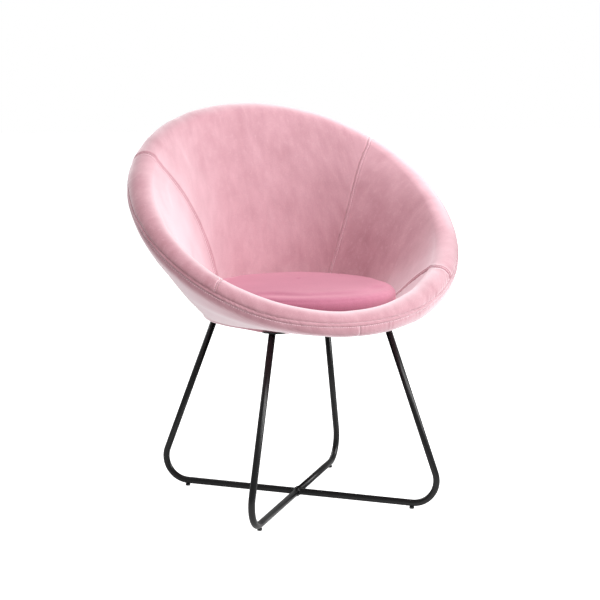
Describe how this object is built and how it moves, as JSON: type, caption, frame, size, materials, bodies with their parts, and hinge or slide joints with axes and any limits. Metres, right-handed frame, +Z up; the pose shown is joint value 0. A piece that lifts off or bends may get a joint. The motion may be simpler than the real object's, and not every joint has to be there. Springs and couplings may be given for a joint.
{
  "type": "upholstered armchair",
  "caption": "Upholstered bucket armchair with a padded egg-shaped shell, loose round seat cushion and bent-rod floor frame.",
  "frame": {"origin": "middle of the chair's own box in plan, on the floor under the glides", "axes": "+Z up, front of the seat towards -Y, +X to the sitter's left"},
  "size_m": [0.7164, 0.5354, 0.8145],
  "materials": {
    "velvet": "short-pile velvet",
    "cushion_velvet": "short-pile velvet",
    "foam": "open-cell foam",
    "lining_cloth": "non-woven cloth",
    "plywood": "bare",
    "black_steel": "satin powder coat",
    "zinc_steel": "zinc plated",
    "black_plastic": "matt"
  },
  "bodies": {
    "chair": {"rod_a": "black_steel", "rod_b_front": "black_steel", "rod_b_rear": "black_steel", "weld_front": "black_steel", "weld_rear": "black_steel", "glide_front_left": "black_plastic", "glide_front_right": "black_plastic", "glide_rear_left": "black_plastic", "glide_rear_right": "black_plastic", "mount_plate": "black_steel", "washer_1": "zinc_steel", "washer_2": "zinc_steel", "washer_3": "zinc_steel", "washer_4": "zinc_steel", "bolt_1": "zinc_steel", "bolt_2": "zinc_steel", "bolt_3": "zinc_steel", "bolt_4": "zinc_steel", "tee_nut_1": "zinc_steel", "tee_nut_2": "zinc_steel", "tee_nut_3": "zinc_steel", "tee_nut_4": "zinc_steel", "dust_cover": "lining_cloth", "seat_board": "plywood", "shell_core": "plywood", "shell_foam": "foam", "outer_cover_left": "velvet", "outer_cover_right": "velvet", "rim_welt": "velvet", "lining_front": "velvet", "lining_right": "velvet", "lining_back": "velvet", "lining_left": "velvet", "deck_pad": "foam", "deck_cover": "velvet"},
    "cushion": {"cushion_cover": "cushion_velvet", "cushion_foam": "foam", "cushion_base": "lining_cloth"}
  },
  "joints": [
    {"name": "cushion_lift", "type": "slide", "parent": "chair", "child": "cushion", "axis": [0, 0, 1], "range_m": [0, 0.42]}
  ]
}
